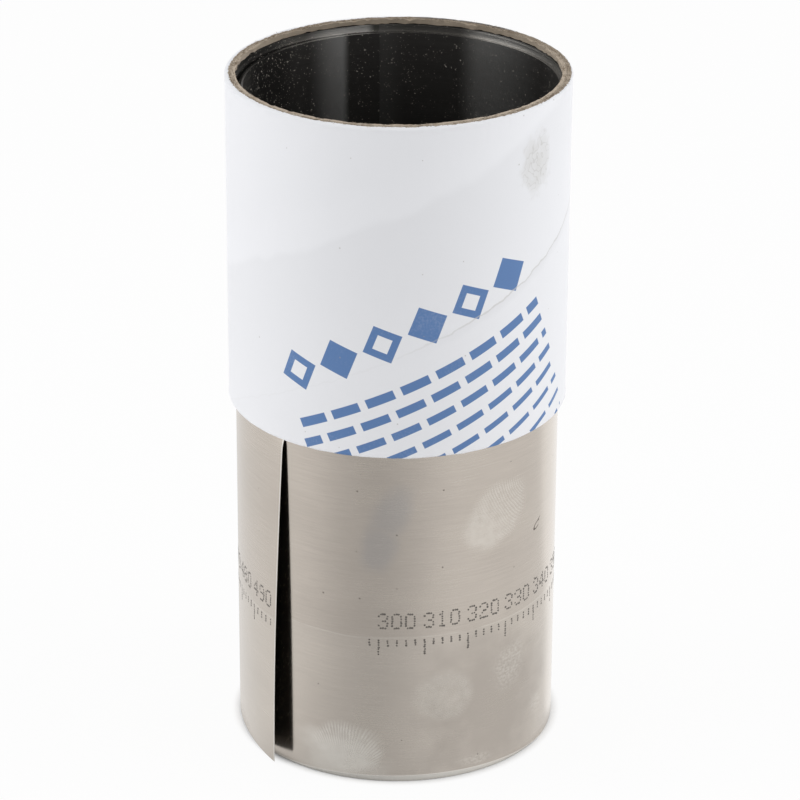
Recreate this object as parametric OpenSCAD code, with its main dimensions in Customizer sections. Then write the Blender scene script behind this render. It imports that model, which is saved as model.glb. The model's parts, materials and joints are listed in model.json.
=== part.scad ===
// A roll of thin steel shim stock, standing on its end, with a paper-faced
// cardboard sleeve round its upper half. The strip is wound flat on itself
// round an open bore, and its loose outer end springs away below the sleeve.
// The roll's axis is Z, and the seated turns stand on Z = 0.

/* [Strip] */
// Thickness of the steel strip
strip_thickness = 0.1; // [0.08:0.01:0.2]
// Width of the strip, which is the height of the roll
strip_width = 150; // [140:1:200]
// Length of strip on the roll
strip_length = 2487; // [1500:1:4000]
// Outside diameter of the wound roll
roll_diameter = 70.8; // [60:0.2:90]

/* [Turns] */
// How far the outermost turns have slid up along the roll
telescope = 1.3; // [0.3:0.1:1.5]
// Number of outer turns that have slid up
slid_turns = 3; // [1:1:5]
// How far every second turn stands proud of its neighbours at the ends
edge_play = 0.08; // [0.02:0.01:0.1]

/* [Loose end] */
// Direction of the strip's outer end where the sleeve holds it down, from +X
end_angle = 227; // [180:1:270]
// Length of strip that springs free at the outer end
free_length = 24; // [12:1:36]
// Height of the free end's lower corner above the roll's surface
corner_lift = 3.1; // [0.5:0.1:4]
// Hairline gap between the outer end and the turn below it
hairline = 0.04; // [0.03:0.01:0.06]

/* [Sleeve] */
// Length of the sleeve
sleeve_length = 73.8; // [50:0.1:110]
// Wall of the sleeve
sleeve_wall = 1.45; // [1:0.05:2]
// Radial clearance between the strip's outer end and the sleeve
sleeve_clearance = 0.15; // [0.1:0.05:0.4]
// How far the sleeve's rim stands above the roll's upper end
rim_rise = 1.6; // [1.5:0.1:5]

/* [Sleeve edges] */
// Radius of the outer edges, which the cutting knife presses round
edge_round = 0.7; // [0.2:0.05:0.9]
// How far the knife pushes the rim's inner edge in as a lip
lip_reach = 0.9; // [0.2:0.05:1.2]
// Height of that lip where it leaves the inner wall
lip_height = 1.25; // [1:0.05:1.3]
// Height of the lip's square inner edge
lip_edge = 0.85; // [0.2:0.05:0.95]

/* [Hidden] */

$fa = 2;
$fs = 0.5;

steel = [0.62, 0.61, 0.58];
paper = [0.86, 0.87, 0.89];

// The wound strip: a spiral of this section fills the same area as the strip's edge
roll_r = roll_diameter / 2;
wound_wall = roll_r - sqrt(roll_r * roll_r - strip_length * strip_thickness / PI);
full_turns = floor(wound_wall / strip_thickness);
bore_r = roll_r - full_turns * strip_thickness;

// The part of a turn that is left over lies inside the bore, and leaves this radius clear
clear_r = bore_r - strip_thickness;
least_sweep = 6;
inner_sweep = max(least_sweep, 360 * (wound_wall / strip_thickness - full_turns));

// How far turn i is shifted up, counted from the innermost full turn
function slid_share(i) = max(0, min(1, (i - full_turns + 1 + slid_turns) / slid_turns));
function shift(i) = telescope * pow(slid_share(i), 2) + edge_play * (i % 2);

// The outer end stands proud of the last full turn
end_shift = shift(full_turns - 1) + edge_play;

// The sleeve's place
sleeve_inner_r = roll_r + hairline + strip_thickness + sleeve_clearance;
sleeve_outer_r = sleeve_inner_r + sleeve_wall;
sleeve_top = strip_width + end_shift + rim_rise;
sleeve_bottom = sleeve_top - sleeve_length;

// The loose end: the strip leaves the roll at free_start and ends at its cut edge
ramp_angle = 6;
facet_angle = 3;
arc_lift_share = 0.45;
free_start = end_angle - free_sweep(0);
end_steps = ceil(free_sweep(0) / facet_angle);
lift_rows = 10;

function free_sweep(lift) = free_length / (roll_r + arc_lift_share * lift) * 180 / PI;

// The lift dies away as a quarter sine from the lower corner to the sleeve
function lift_at(z) = corner_lift * sin(90 * max(0, (sleeve_bottom - z) / (sleeve_bottom - end_shift)));

// Angle and inner radius of the loose end at a height, for step s from the roll to the cut edge;
// step -1 is its root, sunk half a thickness under the roll's surface
function end_angle_at(s, z) =
    s < 0 ? free_start - ramp_angle : free_start + free_sweep(lift_at(z)) * s / end_steps;
function end_radius_at(s, z) =
    s < 0 ? roll_r - strip_thickness * 3 / 2 : roll_r + hairline + lift_at(z) * pow(s / end_steps, 2);

function at_angle(r, a, z) = [r * cos(a), r * sin(a), z];

// One end of the roll as a staircase of turn edges, at height z; the part turn lies level with turn 0
function turn_steps(z) = [
    for (i = [0 : full_turns - 1])
        for (r = [i == 0 ? clear_r : bore_r + i * strip_thickness, bore_r + (i + 1) * strip_thickness])
            [r, z + shift(i)]
];

function reversed(list) = [for (i = [len(list) - 1 : -1 : 0]) list[i]];

// Quarter arc of radius r round [x, z] from angle a on, for a turned profile
round_steps = 6;
function quarter_arc(x, z, r, a) = [
    for (i = [0 : round_steps])
        [x + r * cos(a + 90 * i / round_steps), z + r * sin(a + 90 * i / round_steps)]
];

module wound_turns() {
    rotate_extrude()
        polygon(concat(turn_steps(0), reversed(turn_steps(strip_width))));
}

// What the innermost turn lacks of a full one, from under the outer end on to the strip's inner end
module missing_part_turn() {
    overcut = strip_thickness;
    rotate([0, 0, end_angle])
        rotate_extrude(angle = 360 - inner_sweep)
            translate([clear_r - overcut, -overcut])
                square([bore_r - clear_r + overcut, strip_width + 2 * overcut]);
}

// A sheet of the strip's thickness, as rows of points up the height and steps along the end
module loose_end() {
    heights = concat(
        [for (i = [0 : lift_rows]) end_shift + (sleeve_bottom - end_shift) * i / lift_rows],
        [strip_width + end_shift]
    );
    steps = end_steps + 2;
    rows = len(heights);
    points = [
        for (side = [0, 1])
            for (z = heights)
                for (s = [-1 : end_steps])
                    at_angle(end_radius_at(s, z) + side * strip_thickness, end_angle_at(s, z), z)
    ];
    function point(side, row, step) = (side * rows + row) * steps + step;
    function quad(a, b, c, d) = [[a, b, c], [a, c, d]];
    function sheet_quad(side, row, step) =
        let (near = point(side, row, step), over = point(side, row + 1, step))
            side == 1 ? quad(near, over, over + 1, near + 1) : quad(near, near + 1, over + 1, over);
    function edge_quad(row, step) =
        let (face = point(1, 0, 0))
            step == 0
                ? quad(point(0, row, step), point(0, row + 1, step),
                       point(0, row + 1, step) + face, point(0, row, step) + face)
                : quad(point(0, row, step) + face, point(0, row + 1, step) + face,
                       point(0, row + 1, step), point(0, row, step));
    function rim_quad(row, step) =
        let (face = point(1, 0, 0))
            row == 0
                ? quad(point(0, row, step), point(0, row, step) + face,
                       point(0, row, step + 1) + face, point(0, row, step + 1))
                : quad(point(0, row, step), point(0, row, step + 1),
                       point(0, row, step + 1) + face, point(0, row, step) + face);
    faces = concat(
        [for (side = [0, 1], row = [0 : rows - 2], step = [0 : steps - 2])
            each sheet_quad(side, row, step)],
        [for (row = [0 : rows - 2], step = [0, steps - 1]) each edge_quad(row, step)],
        [for (row = [0, rows - 1], step = [0 : steps - 2]) each rim_quad(row, step)]
    );
    polyhedron(points, faces);
}

// The steel strip: its full turns, the part turn left over in the bore and the loose outer end
module shim_coil() {
    color(steel)
        union() {
            difference() {
                wound_turns();
                missing_part_turn();
            }
            loose_end();
        }
}

// The paper-faced cardboard sleeve, with its knife-cut edges
module sleeve() {
    lip_r = sleeve_inner_r - lip_reach;
    profile = concat(
        [[sleeve_inner_r, sleeve_bottom]],
        quarter_arc(sleeve_outer_r - edge_round, sleeve_bottom + edge_round, edge_round, -90),
        quarter_arc(sleeve_outer_r - edge_round, sleeve_top - edge_round, edge_round, 0),
        [[lip_r, sleeve_top], [lip_r, sleeve_top - lip_edge], [sleeve_inner_r, sleeve_top - lip_height]]
    );
    color(paper)
        rotate_extrude()
            polygon(profile);
}

shim_coil();
sleeve();
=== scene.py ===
import functools
import json
import math

import bpy
import numpy as np
from mathutils import Matrix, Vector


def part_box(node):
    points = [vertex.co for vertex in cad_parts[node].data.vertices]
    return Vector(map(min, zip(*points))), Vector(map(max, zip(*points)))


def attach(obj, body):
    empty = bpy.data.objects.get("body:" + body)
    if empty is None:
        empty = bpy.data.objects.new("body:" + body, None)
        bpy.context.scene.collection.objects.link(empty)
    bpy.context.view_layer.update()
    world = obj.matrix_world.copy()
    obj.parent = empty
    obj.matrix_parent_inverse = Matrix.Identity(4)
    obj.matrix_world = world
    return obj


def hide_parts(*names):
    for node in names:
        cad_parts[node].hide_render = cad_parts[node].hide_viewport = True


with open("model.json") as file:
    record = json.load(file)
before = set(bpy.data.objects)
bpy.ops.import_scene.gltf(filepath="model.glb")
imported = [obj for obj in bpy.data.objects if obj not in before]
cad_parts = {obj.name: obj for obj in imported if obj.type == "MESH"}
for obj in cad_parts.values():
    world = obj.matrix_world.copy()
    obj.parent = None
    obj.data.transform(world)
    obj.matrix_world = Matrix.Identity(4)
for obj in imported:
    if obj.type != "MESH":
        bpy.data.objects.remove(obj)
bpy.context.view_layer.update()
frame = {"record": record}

# Lengths here are in millimetres, as on a drawing; MM turns them into Blender's metres
MM = 0.001
TURN = 2 * math.pi

# The sleeve and the roll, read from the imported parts
sleeve_low, sleeve_high = (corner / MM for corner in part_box("sleeve"))
coil_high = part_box("shim_coil")[1] / MM
mounts = {mount["name"]: mount for mount in frame["record"]["mounts"]}
SLEEVE_R = sleeve_high.x
SLEEVE_BOTTOM = sleeve_low.z
SLEEVE_TOP = sleeve_high.z
ROLL_R = coil_high.x
BORE_R = mounts["bore"]["dims"]["r_mm"]
STRIP_WIDTH = mounts["bore"]["dims"]["length_mm"]

# The strip: wound outwards from its inner end, with a loose outer end that lifts off the roll
THICKNESS = 0.1
INNER_END = math.radians(97.2)
OUTER_END = math.radians(227.6)
FULL_TURNS = round((ROLL_R - BORE_R) / THICKNESS) - 1
WOUND = FULL_TURNS * TURN + OUTER_END - INNER_END
HAIRLINE = 0.04
FREE_LENGTH = 24
CORNER_LIFT = 2.65
ARC_LIFT_SHARE = 0.45
EDGE_POP = 0.55
EDGE_POP_HEIGHT = 3.5
EDGE_POP_START = 0.45
# Width in millimetres of the margin by the loose end that carries the cut ends' painted highlight
CUT_MARGIN = 0.3

# The share of the strip's thickness that its mesh fills, so that the turns keep clear of each other
RIBBON_SHARE = 0.9

# How the turns lie: the outer ones have slid up, most at the front and back,
# and the inner ones sag inwards on the left
SLID = 0.45
SLID_WAVE = 0.9
SLID_LEAST = 0.05
SLID_PEAK = math.radians(8)
SLID_BACK = 1.6
SLID_END = 0.55
SLID_TURNS = 2.5
SLID_ONSET = 1.8
END_SETTLED = 0.15
END_SETTLING = 4
FRONT_REACH = 0.42
EDGE_PLAY = 0.04
EDGE_PLAY_RATE = 0.382
LOOSE_TURNS = 5
LOOSE_GAP = 1.2
LOOSE_SIDE = math.pi

# The sleeve's wall, knife-cut edges and helical winding
SLEEVE_WALL = 1.45
EDGE_ROUND = 0.7
LIP_REACH = 0.9
LIP_HEIGHT = 1.25
LIP_EDGE = 1.05
HELIX = math.radians(24)
PLY_WIDTH = TURN * SLEEVE_R * math.sin(HELIX)
SEAM_ACROSS = 93.5
UNDER_SEAM = 29.0

# The rim isn't cut quite square: it is highest at the front, somewhat to the right
CUT_RISE = 0.27
CUT_TILT = 0.3
CUT_SIDE = math.radians(60)
CUT_REACH = 6.0

# How far the paper folds in over the rim: most on the left and at the back
FOLD = 0.66
FOLD_LEAN = 0.29
FOLD_SIDE = math.radians(34)
FRONT_FOLD = 0.2

SEED = 11


# Node arithmetic

class Field:
    """A number that varies over a surface: an output in a node tree, used in plain arithmetic."""

    def __init__(self, tree, socket):
        self.tree = tree
        self.socket = socket

    def __add__(self, other):
        return calculate(self.tree, "ADD", self, other)

    def __sub__(self, other):
        return calculate(self.tree, "SUBTRACT", self, other)

    def __mul__(self, other):
        return calculate(self.tree, "MULTIPLY", self, other)

    def __truediv__(self, other):
        return calculate(self.tree, "DIVIDE", self, other)

    def __rsub__(self, other):
        return calculate(self.tree, "SUBTRACT", other, self)

    __radd__ = __add__
    __rmul__ = __mul__


def plug(tree, socket, value):
    """Links a field to an input, or sets the input to a plain value."""
    if isinstance(value, Field):
        tree.links.new(value.socket, socket)
    else:
        socket.default_value = value


def calculate(tree, operation, *values):
    node = tree.nodes.new("ShaderNodeMath")
    node.operation = operation
    for socket, value in zip(node.inputs, values):
        plug(tree, socket, value)
    return Field(tree, node.outputs[0])


def sine(field):
    return calculate(field.tree, "SINE", field)


def root(field):
    return calculate(field.tree, "SQRT", field)


def size_of(field):
    return calculate(field.tree, "ABSOLUTE", field)


def whole(field):
    return calculate(field.tree, "FLOOR", field)


def larger(a, b):
    return calculate(a.tree, "MAXIMUM", a, b)


def largest(fields):
    return functools.reduce(larger, fields)


def rise(field, low, high):
    """0 below low and 1 above high, or the other way round, with a smooth step between."""
    node = field.tree.nodes.new("ShaderNodeMapRange")
    node.interpolation_type = "SMOOTHSTEP"
    plug(field.tree, node.inputs["Value"], field)
    start, end = (0.0, 1.0) if low < high else (1.0, 0.0)
    plug(field.tree, node.inputs["From Min"], min(low, high))
    plug(field.tree, node.inputs["From Max"], max(low, high))
    plug(field.tree, node.inputs["To Min"], start)
    plug(field.tree, node.inputs["To Max"], end)
    return Field(field.tree, node.outputs["Result"])


def line(field, width, softness):
    """1 where the field is within half the width of 0, falling off over softness."""
    return rise(size_of(field), width / 2 + softness, width / 2)


def window(field, start, full, fading, end):
    """0 up to start, 1 from full to fading and 0 from end on, with smooth steps between."""
    return rise(field, start, full) * rise(field, end, fading)


def oval_distance(across, up):
    """Distance from the middle of an oval, from places that are shares of its half sizes."""
    return root(across * across + up * up)


def scaled(colour, share):
    """A colour, darker or brighter."""
    return tuple(c * share for c in colour)


class Paint:
    """A material under construction, with the surface's place on the roll in millimetres.

    Its angle runs from the front, growing to the right.
    """

    def __init__(self, name, radius):
        self.material = bpy.data.materials.new(name)
        self.material.use_nodes = True
        self.tree = self.material.node_tree
        self.shader = self.tree.nodes["Principled BSDF"]
        place = self.tree.nodes.new("ShaderNodeTexCoord")
        split = self.tree.nodes.new("ShaderNodeSeparateXYZ")
        self.tree.links.new(place.outputs["Object"], split.inputs[0])
        x, y, z = (Field(self.tree, socket) / MM for socket in split.outputs)
        self.x, self.y, self.height = x, y, z
        self.radius = root(x * x + y * y)
        self.angle = calculate(self.tree, "ARCTAN2", x, y * -1.0)
        self.arc = self.angle * radius

    def vector(self, x, y, z=0.0):
        node = self.tree.nodes.new("ShaderNodeCombineXYZ")
        for socket, value in zip(node.inputs, (x, y, z)):
            plug(self.tree, socket, value)
        return Field(self.tree, node.outputs[0])

    def noise(self, x, y, z=0.0, detail=2.0, roughness=0.5):
        """Smooth noise about 0.5, of one cell for each unit of its coordinates."""
        node = self.tree.nodes.new("ShaderNodeTexNoise")
        plug(self.tree, node.inputs["Vector"], self.vector(x, y, z))
        node.inputs["Scale"].default_value = 1.0
        node.inputs["Detail"].default_value = detail
        node.inputs["Roughness"].default_value = roughness
        return Field(self.tree, node.outputs[0])

    def grain(self, length, tall, offset=0.0, detail=2.0, roughness=0.5):
        """Smooth noise in cells of that length and height, with no join at the back of the roll."""
        x, y = self.x / length + offset, self.y / length
        return self.noise(x, y, self.height / tall, detail, roughness)

    def from_back(self):
        """Angle in degrees from the back, growing to the right, for what must not break there."""
        return calculate(self.tree, "ARCTAN2", self.x, self.y) * (180 / math.pi)

    def facing(self):
        """1 at the front of the roll, 0 at its sides and -1 at its back."""
        return sine(self.angle + math.pi / 2)

    def specks(self, x, y, size, share):
        """Round specks, one at most for each unit cell, in that share of the cells."""
        node = self.tree.nodes.new("ShaderNodeTexVoronoi")
        node.voronoi_dimensions = "2D"
        plug(self.tree, node.inputs["Vector"], self.vector(x, y))
        node.inputs["Scale"].default_value = 1.0
        split = self.tree.nodes.new("ShaderNodeSeparateColor")
        self.tree.links.new(node.outputs["Color"], split.inputs[0])
        chance, spread = (Field(self.tree, split.outputs[i]) for i in (0, 1))
        distance = Field(self.tree, node.outputs["Distance"])
        near = rise(distance - size * 0.6 * spread, size, size * 0.3)
        return near * rise(chance, share, share * 0.95)

    def mix(self, factor, first, second):
        """First colour at factor 0 and second at 1; a colour is three numbers or a field."""
        node = self.tree.nodes.new("ShaderNodeMix")
        node.data_type = "RGBA"
        plug(self.tree, node.inputs["Factor"], factor)
        for socket, colour in ((node.inputs[6], first), (node.inputs[7], second)):
            plug(self.tree, socket, colour if isinstance(colour, Field) else (*colour, 1.0))
        return Field(self.tree, node.outputs[2])

    def layers(self, colour, *coats):
        """A colour under coats, each given by its factor and its own colour."""
        for factor, coat in coats:
            colour = self.mix(factor, colour, coat)
        return colour

    def set(self, **values):
        """Sets the shader's inputs by name, with _ for a space."""
        for name, value in values.items():
            socket = self.shader.inputs[name.replace("_", " ")]
            is_colour = isinstance(value, tuple) and len(value) == 3
            plug(self.tree, socket, (*value, 1.0) if is_colour else value)
        return self

    def bump(self, height, depth):
        """Relief of that depth, in millimetres, where the height field goes from 0 to 1."""
        node = self.tree.nodes.new("ShaderNodeBump")
        node.inputs["Distance"].default_value = depth * MM
        plug(self.tree, node.inputs["Height"], height)
        self.tree.links.new(node.outputs["Normal"], self.shader.inputs["Normal"])
        return self


# Steel

STEEL = (0.525, 0.475, 0.422)
STEEL_PALE = (0.66, 0.62, 0.56)
STEEL_OILY = (0.39, 0.385, 0.39)
STEEL_SMEARED = (0.80, 0.77, 0.71)
# Pale steel for the fingerprints, and for the painted sheen
STEEL_TOUCHED_AND_SHEEN = (0.84, 0.81, 0.75)
# Painted highlight along the strip's lower edge
STEEL_EDGE_HIGHLIGHT = (0.86, 0.83, 0.78)
# Paler steel for the band of lower turns, a painted reflection of the bright floor
COVERED_REFLECTION_DARK, COVERED_REFLECTION_PALE = (0.58, 0.555, 0.515), (0.75, 0.725, 0.68)
# Bright steel for the cut ends, a painted highlight
CUT_HIGHLIGHT_DARK, CUT_HIGHLIGHT_PALE = (0.64, 0.615, 0.575), (0.80, 0.775, 0.73)
EDGE_DARK, EDGE_PALE = (0.19, 0.18, 0.165), (0.46, 0.44, 0.41)
EDGE_SHADE = (0.03, 0.029, 0.027)
# Inside the roll: dark base colours that are painted shade, and bright streak colours that are
# painted reflections
BORE_SHADED_STEEL = (0.115, 0.11, 0.105)
BORE_STREAK_LIGHT = (0.74, 0.74, 0.73)
BORE_SHADE = (0.02, 0.02, 0.019)
LEDGE_SHADED_STEEL = (0.17, 0.165, 0.155)
LEDGE_STREAK_LIGHT = (0.93, 0.92, 0.90)
DUST = (0.75, 0.70, 0.62)
DIRT = (0.10, 0.08, 0.065)

# Fingerprints: direction from the front in degrees, height, half width, half height,
# lean in degrees, strength, how much of it is ridges, and whether these fan out or arch over
FINGERPRINTS = (
    (-17.4, 7.8, 8.8, 6.6, -8, 1.5, 0.7, True),
    (17.5, 20.6, 7.4, 7.0, -12, 0.42, 0.2, False),
    (38.0, 62.0, 7.3, 10.4, 124, 0.72, 0.75, False),
)
RIDGE_PITCH = 0.62

# Oily wipes: direction from the front in degrees, height, half width, half height and lean
WIPES = (
    (-2.0, 65.0, 4.6, 8.5, -24),
    (-6.0, 57.5, 4.2, 6.5, -14),
)

# Pale smears, by the same five numbers; then a broad darker patch at the lower right, and a pale
# painted sheen at the lower left
SMEARS = (
    (44.0, 24.0, 5.0, 6.5, -25),
    (61.0, 10.5, 3.2, 2.6, 0),
    (30.0, 3.2, 4.5, 1.6, 0),
)
DARKER_PATCH = (38.0, 16.0, 18.0, 21.0, 0)
PAINTED_SHEEN = (-20.5, 4.4, 10.5, 8.0, 0)

# A curled hair stuck to the oil, by the same five numbers
HAIR = (60.0, 54.7, 1.4, 0.6, 28)

# A fine line round the strip, with paler steel below it
WITNESS_LINE = 35.7

# The painted highlight along the strip's lower edge: how far up it lies and how wide it is
EDGE_HIGHLIGHT_AT, EDGE_HIGHLIGHT_WIDTH = 0.12, 0.14

# The roll is smoother near the loose end, which shelters it: so many radians to each side
SHELTER_REACH = 0.5
SHELTER_TOP = ROLL_R + THICKNESS

# Sizes of the textures' cells: length and height
ROLLING_LINES = (9, 0.22)
SCRATCHES = (1.8, 0.09)
TONES = (22, 14)
SMEAR_CELL = (0.7, 0.5)
FLECK_CELL = 9
DUST_CELL = 0.36
DUST_CLOUD = 16
BURR_LENGTH, BURR_HEIGHT = 1.5, 0.05

# Bands up the bore, in degrees from its back: where each starts, is full, fades and ends.
# The streaks are painted reflections, the shaded band is painted shade and the dusty band is real
# dust.
# Both streaks are given without their ends, which differ between bore and ledge.
LEFT_STREAK = (-37.0, -20.5)
LEFT_FADE = 3.5
RIGHT_STREAK = (21.5, 31.5, 32.0)
END_STREAK_END = 4.0
SHADED_BAND = (-80.0, -68.0, -52.0, -40.0)
DUSTY_BAND = (-170.0, -110.0, -60.0, -20.0)

# The ends of the left and the right streak of painted reflection, and how strong the right one is
BORE_STREAKS = (-22.0, 65.0, 0.54)
LEDGE_STREAKS = (-12.0, 80.0, 0.68)

# The turns' edges darken from the first of these angles to the second, and stay dark beyond it
EDGES_SHADED = (-42.0, -58.0)


def turned_place(paint, direction, height, lean):
    """Place round and up from a point on the roll, in axes that lean by so many degrees."""
    across = paint.arc - math.radians(direction) * ROLL_R
    up = paint.height - height
    turn, tilt = math.cos(math.radians(lean)), math.sin(math.radians(lean))
    return across * turn + up * tilt, up * turn - across * tilt


def fingerprint(paint, direction, height, half_width, half_height, lean, strength, ridged, fanned):
    """A worn fingerprint as a field: an oval patch with bent ridges."""
    along, upward = turned_place(paint, direction, height, lean)
    drift = paint.noise(paint.arc / 6, paint.height / 6, height) - 0.5
    arch = upward + half_height * 1.1
    if fanned:
        across = calculate(paint.tree, "ARCTAN2", along, arch) * (half_height * 1.5)
    else:
        across = root(along * along * 0.55 + arch * arch)
        ridged = rise(arch, half_height * 1.7, half_height * 0.7) * ridged
    ridges = rise(sine((across + drift * 1.5) * (TURN / RIDGE_PITCH)), -0.7, 0.7)
    worn = rise(paint.noise(paint.arc / 1.6, paint.height / 1.6, height + 3, detail=3.0), 0.25, 0.7)
    oval = oval_distance(along / half_width, upward / half_height)
    patch = rise(oval + drift * 0.4, 1.05, 0.68) * (worn * 0.5 + 0.5)
    return patch * (ridges * ridged + (1 - ridged)) * strength


def wipe(paint, direction, height, half_width, half_height, lean):
    """A soft-edged patch as a field."""
    across, up = turned_place(paint, direction, height, lean)
    ragged = paint.noise(paint.arc / 7, paint.height / 7, height) - 0.5
    return rise(oval_distance(across / half_width, up / half_height) + ragged * 0.9, 1.25, 0.35)


def curled_hair(paint, direction, height, half_width, half_height, lean):
    """An open loop as a field, with a tail to its right."""
    across, up = turned_place(paint, direction, height, lean)
    oval = oval_distance(across / half_width, up / half_height)
    loop = line(oval - 1.0, 0.24, 0.18) * rise(across - up, half_width * 0.9, half_width * 0.5)
    tail = line(up - half_height, 0.12, 0.1) * window(across, -0.1, 0.1, 1.6, 2.2)
    return larger(loop, tail)


def rolling_lines(paint):
    """Fine lines along the strip, from the rolling mill."""
    return paint.grain(*ROLLING_LINES, detail=4.0, roughness=0.7)


def painted_edge_highlight(paint):
    """A painted highlight as a field: a bright line along the strip's lower edge, which has slid up
    as in the mesh.
    """
    wave = sine((paint.angle - SLID_PEAK) * 2.0 + math.pi / 2) * SLID_WAVE + SLID
    front = rise(paint.facing(), -FRONT_REACH, FRONT_REACH)
    slid_up = (larger(wave, SLID_LEAST) - SLID_BACK) * front + SLID_BACK
    return line(paint.height - slid_up - EDGE_PLAY - EDGE_HIGHLIGHT_AT, EDGE_HIGHLIGHT_WIDTH, 0.1)


def under_loose_end(paint):
    """1 on the turn that the loose end hangs over, and 0 on the loose end where it has lifted."""
    from_end = size_of(paint.angle - (OUTER_END - 3 * math.pi / 2))
    on_roll = rise(paint.radius, SHELTER_TOP, SHELTER_TOP - 0.03)
    return on_roll * rise(from_end, SHELTER_REACH, SHELTER_REACH * 0.7)


def stretch_highlights(paint):
    """Lets the highlights run out across the rolling lines."""
    tangent = paint.tree.nodes.new("ShaderNodeTangent")
    tangent.direction_type = "RADIAL"
    tangent.axis = "Z"
    paint.tree.links.new(tangent.outputs[0], paint.shader.inputs["Tangent"])
    paint.set(Anisotropic=0.5, Anisotropic_Rotation=0.25)


def steel_paint():
    """Cold-rolled strip: lines along its length, fine scratches, oil and fingerprints, with a
    painted sheen and a painted edge highlight.
    """
    paint = Paint("rolled_steel", ROLL_R)
    lines = rolling_lines(paint)
    tone = paint.grain(*TONES, 5.0, detail=3.0)
    scratches = rise(paint.grain(*SCRATCHES, 9.0, detail=1.0), 0.7, 0.84)
    below = paint.height - WITNESS_LINE - (paint.grain(30, STRIP_WIDTH) - 0.5) * 2.0
    witness = line(below, 0.1, 0.22) * rise(paint.grain(6, STRIP_WIDTH, 4.0), 0.3, 0.6)
    oil = largest(wipe(paint, *place) for place in WIPES)
    patchy = rise(paint.grain(*SMEAR_CELL, 6.0, detail=4.0), 0.3, 0.72)
    smears = largest(wipe(paint, *place) for place in SMEARS) * patchy
    prints = largest(fingerprint(paint, *place) for place in FINGERPRINTS)
    flecks = paint.specks(paint.arc / FLECK_CELL, paint.height / FLECK_CELL, 0.018, 0.22)
    hair = curled_hair(paint, *HAIR)

    rolled = rise(lines * 0.55 + tone * 0.45, 0.25, 0.75)
    colour = paint.layers(
        paint.mix(rolled, scaled(STEEL, 0.92), scaled(STEEL, 1.08)),
        (rise(below, 0.6, -0.6) * 0.16, STEEL_PALE),
        # A broad darker patch at the lower right
        (wipe(paint, *DARKER_PATCH) * 0.75, scaled(STEEL, 0.74)),
        # Painted sheen: a pale patch at the lower left
        (wipe(paint, *PAINTED_SHEEN) * 0.5, STEEL_TOUCHED_AND_SHEEN),
        (smears * 0.26, STEEL_SMEARED),
        (oil * 0.42, STEEL_OILY),
        (scratches * 0.35, STEEL_PALE),
        (witness * 0.4, STEEL_PALE),
        # Painted highlight along the strip's lower edge
        (painted_edge_highlight(paint) * 0.6, STEEL_EDGE_HIGHLIGHT),
        (prints * 0.42, STEEL_TOUCHED_AND_SHEEN),
        (larger(flecks * 0.8, hair) * 0.92, DIRT),
    )
    roughness = lines * 0.08 + tone * 0.06 + prints * 0.05 + 0.19
    roughness = roughness * (1.0 - under_loose_end(paint) * 0.35)
    paint.set(Base_Color=colour, Metallic=1.0, Roughness=roughness)
    stretch_highlights(paint)
    return paint.bump(lines + scratches * 0.5, 0.0004).material


def bore_paint(name, steel, streak_light, left_end, right_end, right_share):
    """The inside of the roll: its dark colour is painted shade, the paler streaks up it are painted
    reflections, and dust is caught in its oil.
    """
    paint = Paint(name, BORE_R)
    behind = paint.from_back()
    lines = paint.grain(30, 0.4, detail=3.0, roughness=0.6)
    left_streak = window(behind, *LEFT_STREAK, left_end, left_end + LEFT_FADE)
    right_streak = window(behind, *RIGHT_STREAK, right_end) * right_share
    inner_end = 90 - math.degrees(INNER_END)
    end_edge = (inner_end - 0.2, inner_end + 0.2, inner_end + 1.0)
    end_streak = window(behind, *end_edge, END_STREAK_END) * 0.1
    streaks = left_streak + right_streak + end_streak
    clouds = paint.grain(DUST_CLOUD, DUST_CLOUD, 1.0)
    clustered = window(behind, *DUSTY_BAND) * 0.05 + clouds * 0.14
    grit = paint.grain(DUST_CELL, DUST_CELL, 3.0, detail=1.0, roughness=0.4)
    dust = rise(grit + clustered, 0.78, 0.83)
    colour = paint.layers(
        paint.mix(lines, scaled(steel, 0.85), scaled(steel, 1.15)),
        (window(behind, *SHADED_BAND) * 0.55, BORE_SHADE),
        (streaks * 0.9, streak_light),
        (dust * 0.7, DUST),
    )
    roughness = lines * 0.08 + dust * 0.4 + 0.3
    paint.set(Base_Color=colour, Metallic=0.86 - dust * 0.6, Roughness=roughness)
    return paint.bump(lines * 0.3 + dust, 0.006).material


def covered_reflection_paint():
    """The strip where the outer turn once covered it, seen as the band of lower turns at the bottom:
    paler and greyer as a painted reflection of the bright floor.
    """
    paint = Paint("covered_steel_painted_reflection", ROLL_R)
    lines = rolling_lines(paint)
    colour = paint.mix(lines, COVERED_REFLECTION_DARK, COVERED_REFLECTION_PALE)
    paint.set(Base_Color=colour, Metallic=1.0, Roughness=lines * 0.1 + 0.25)
    return paint.bump(lines, 0.0004).material


def cut_highlight_paint():
    """The cut ends of the strip, and the margin beside them, painted bright as a painted highlight
    on the cut edge.
    """
    paint = Paint("cut_ends_painted_highlight", ROLL_R)
    grain = paint.grain(0.6, 0.6, detail=3.0)
    colour = paint.mix(grain, CUT_HIGHLIGHT_DARK, CUT_HIGHLIGHT_PALE)
    return paint.set(Base_Color=colour, Metallic=1.0, Roughness=grain * 0.1 + 0.28).material


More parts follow.
